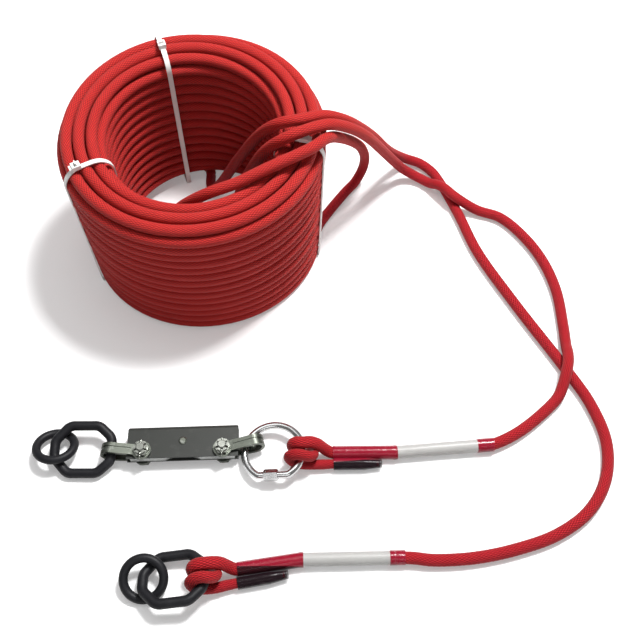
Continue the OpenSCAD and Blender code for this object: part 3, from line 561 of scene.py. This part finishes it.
def rope_eye(name, node, c, lean, turn, mouth, knee, throat, lead, tail):
    """Round turn about the link's wire, with the rope and its tail under the shrink tube."""
    c, mouth, knee, throat = Vector(c), Vector(mouth), Vector(knee), Vector(throat)
    turned = (Matrix.Rotation(math.radians(turn), 3, "Z")
              @ Matrix.Rotation(-math.radians(lean), 3, "X"))
    start = mouth + (knee - mouth) * EYE_START / (knee - mouth).length
    points = [start, start + 0.5 * (knee - start), knee, knee + 0.5 * (throat - knee), throat]
    points += [Vector(p) for p in lead]
    for i in range(WRAP_POINTS):
        a = 90 + WRAP_STEP_DEG * i
        if a < WRAP_LEAVES:
            side = 1
        elif a > WRAP_ARRIVES:
            side = -1
        else:
            share = (a - WRAP_LEAVES) / (WRAP_ARRIVES - WRAP_LEAVES)
            side = math.cos(math.pi * share)
        r = math.radians(a)
        points.append(c + turned @ Vector((WRAP_R * math.cos(r), WRAP_OFF * side,
                                           WRAP_R * math.sin(r))))
    points += [Vector(p) for p in tail]
    world = [at(p) for p in points]
    line, half = [], []
    for i, part in enumerate(stretches(world, ROPE_STEP)):
        for k, p in enumerate(part):
            f = k / len(part)
            line.append(p)
            half.append([(w[i] * (1 - f) + w[i + 1] * f - SKIN_INSET) * MM
                         for w in (EYE_UP, EYE_SIDE)])
    line.append(world[-1])
    half.append([(w[-1] - SKIN_INSET) * MM for w in (EYE_UP, EYE_SIDE)])
    eye = tube(name, line, lambda i: half[i], ROPE_SIDES, braid_relief(EYE_RELIEF))
    dress(eye, MAT_ROPE_FREE_SHADED, node)


free_rope("rope_loop_over_rim", LOOP, "rope_loop")
free_rope("rope_run_to_end_a", RUN_A, "rope_run_a")
free_rope("rope_run_to_end_b", RUN_B, "rope_run_b")
rope_eye("rope_eye_round_quick_link", "rope_eye_a", **EYE_A)
rope_eye("rope_eye_round_oval_link", "rope_eye_b", **EYE_B)

# ------------------------------------------------ materials of the CAD nodes

LOOK = (
    (MAT_TAPE, "tail_tape_a", "tail_tape_b"),
    (MAT_WHITE, "white_sleeve_a", "white_sleeve_b"),
    (MAT_TIE, "cable_tie_1", "cable_tie_2", "cable_tie_3"),
    (MAT_STEEL, "quick_link_body", "quick_link_nut"),
    (MAT_ZINC, "shackle_right", "shackle_left", "sleeve_rivet"),
    (MAT_BOLT, "shackle_bolts", "castle_nuts", "split_pins"),
    (MAT_SLEEVE, "weak_link_sleeve"),
    (MAT_INSERT, "weak_link_insert_primary", "weak_link_insert_reserve"),
    (MAT_LINK, "oval_link_a", "oval_link_b", "round_ring_a", "round_ring_b"),
    (film_material("film_a", NODES["shrink_tube_a"], EYE_A["knee"], EYE_A["mouth"]),
     "shrink_tube_a"),
    (film_material("film_b", NODES["shrink_tube_b"], EYE_B["knee"], EYE_B["mouth"]),
     "shrink_tube_b"),
)
for mat, *names in LOOK:
    for name in names:
        NODES[name].data.materials.clear()
        NODES[name].data.materials.append(mat)

# ----------------------------------------------------------- floor and light

WHITE = (1.0, 1.0, 1.0)
FLOOR_GREY = (0.80, 0.80, 0.80)
FLOOR_HALF = 4.0
FLOOR_DROP = 0.4 * MM
SEEN_GLOW, FAR_GLOW, FAR_FROM = 0.22, 0.9, 0.9
WORLD_LIGHT = 0.22


def floor_material():
    """Pale paper that the camera sees whiter than it lights, all white far away."""
    m = Nodes("floor_paper")
    m.set(Base_Color=FLOOR_GREY, Roughness=0.95, Specular_IOR_Level=0.0)
    glow = m.tree.nodes.new("ShaderNodeEmission")
    m.fill(glow.inputs["Color"], WHITE)
    path = m.tree.nodes.new("ShaderNodeLightPath")
    add = m.tree.nodes.new("ShaderNodeAddShader")
    away = m.math("SUBTRACT", m.vector("LENGTH", m.coord("Object")), FAR_FROM, clamp=True)
    strength = m.math("ADD", m.math("MULTIPLY", away, FAR_GLOW), SEEN_GLOW)
    m.fill(glow.inputs["Strength"], m.math("MULTIPLY", path.outputs["Is Camera Ray"], strength))
    m.link(m.bsdf, "BSDF", add, 0)
    m.link(glow, "Emission", add, 1)
    m.link(add, "Shader", m.out, "Surface")
    return m.mat


def make_floor():
    bm = bmesh.new()
    bmesh.ops.create_grid(bm, x_segments=2, y_segments=2, size=FLOOR_HALF)
    mesh = bpy.data.meshes.new("floor")
    bm.to_mesh(mesh)
    bm.free()
    floor = bpy.data.objects.new("floor", mesh)
    floor.location = (0, 0, -FLOOR_DROP)
    bpy.context.collection.objects.link(floor)
    floor.data.materials.append(floor_material())


def area(name, loc, target, size, power):
    data = bpy.data.lights.new(name, "AREA")
    data.shape = "RECTANGLE"
    data.size, data.size_y = size
    data.energy = power
    lamp = bpy.data.objects.new(name, data)
    lamp.location = loc
    way = Vector(target) - Vector(loc)
    lamp.rotation_euler = way.to_track_quat("-Z", "Y").to_euler()
    bpy.context.collection.objects.link(lamp)


def make_world():
    """White to the camera, a soft fill to the object."""
    world = bpy.data.worlds.new("studio")
    world.use_nodes = True
    tree = world.node_tree
    back = tree.nodes["Background"]
    back.inputs["Color"].default_value = (*WHITE, 1.0)
    path = tree.nodes.new("ShaderNodeLightPath")
    pick = tree.nodes.new("ShaderNodeMath")
    pick.operation = "MAXIMUM"
    pick.inputs[1].default_value = WORLD_LIGHT
    tree.links.new(path.outputs["Is Camera Ray"], pick.inputs[0])
    tree.links.new(pick.outputs[0], back.inputs["Strength"])
    bpy.context.scene.world = world


make_floor()
area("key", (0.46, 0.5, 1.7), (-0.05, 0.05, 0.0), (0.34, 0.34), 52)
area("top", (-0.2, 0.3, 1.9), (0, 0, 0), (1.4, 1.1), 9)
area("front", (0.1, -1.5, 1.3), (0, 0, 0.05), (1.4, 0.8), 6)
make_world()
bpy.context.scene.view_settings.view_transform = "Standard"
